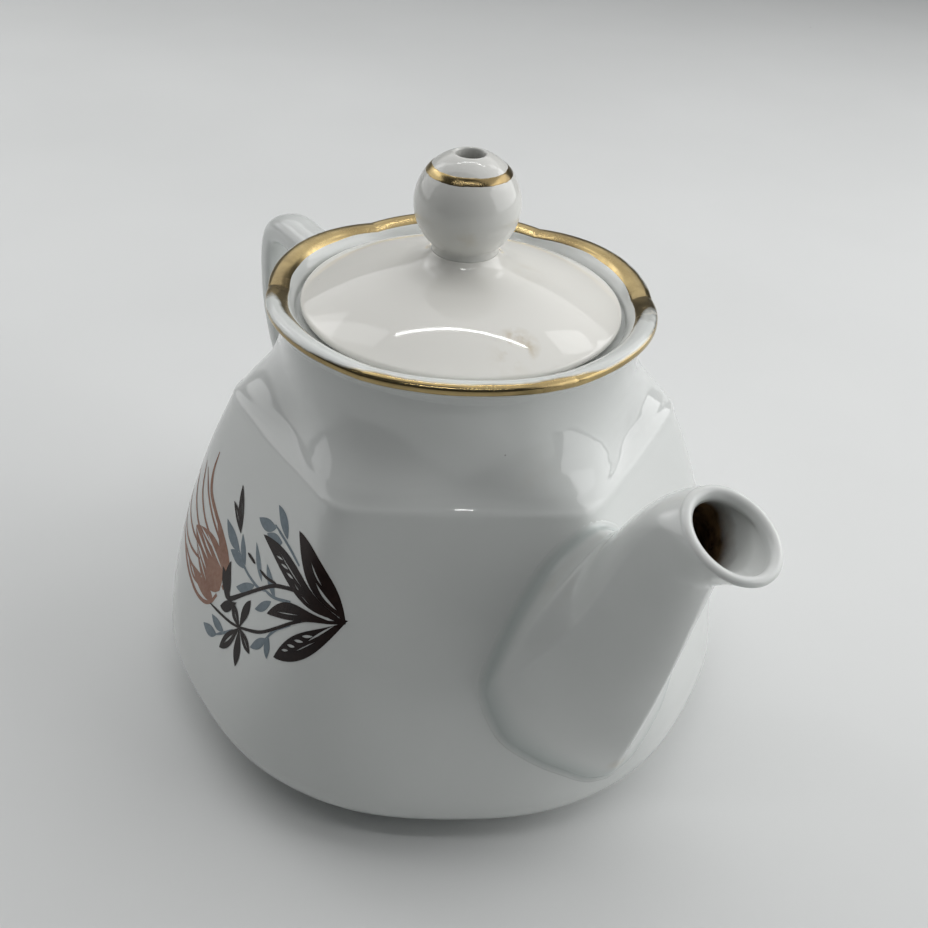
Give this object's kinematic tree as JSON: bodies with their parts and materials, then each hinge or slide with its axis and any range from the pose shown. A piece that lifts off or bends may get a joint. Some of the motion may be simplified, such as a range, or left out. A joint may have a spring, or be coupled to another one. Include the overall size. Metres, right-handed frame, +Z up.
{
  "type": "porcelain teapot",
  "caption": "Faceted flared porcelain teapot with scalloped gilt rim, keeled spout, strap handle, flower transfers and a lift-off domed lid with a ball knob.",
  "frame": {"origin": "centre of the foot ring, on the plane the pot stands on", "axes": "+X towards the spout, +Z up along the pot's axis, the handle is at -X and the two flowered panels face -Y and +Y"},
  "size_m": [0.2168, 0.1528, 0.1491],
  "materials": {
    "body_porcelain": "gloss glaze, cool white",
    "spout_porcelain": "gloss glaze, cool white, tea stained inside",
    "handle_porcelain": "gloss glaze, cool white",
    "lid_porcelain": "gloss glaze, warmer white with faint stains",
    "knob_porcelain": "gloss glaze",
    "rim_gold": "bright gold lustre, worn thin at the lip",
    "knob_gold": "bright gold lustre",
    "flower_print": "printed overglaze colour: black leaves, grey-blue sprigs, pink-brown tulip"
  },
  "bodies": {
    "pot": {"pot_body": "body_porcelain", "spout": "spout_porcelain", "handle": "handle_porcelain", "rim_gilding": "rim_gold", "flower_transfer_front": "flower_print", "flower_transfer_back": "flower_print"},
    "lid": {"lid": "lid_porcelain", "lid_knob": "knob_porcelain", "knob_gilding": "knob_gold"}
  },
  "joints": [
    {"name": "lid_lift", "type": "slide", "parent": "pot", "child": "lid", "axis": [0, 0, 1], "range_m": [0, 0.06]}
  ]
}
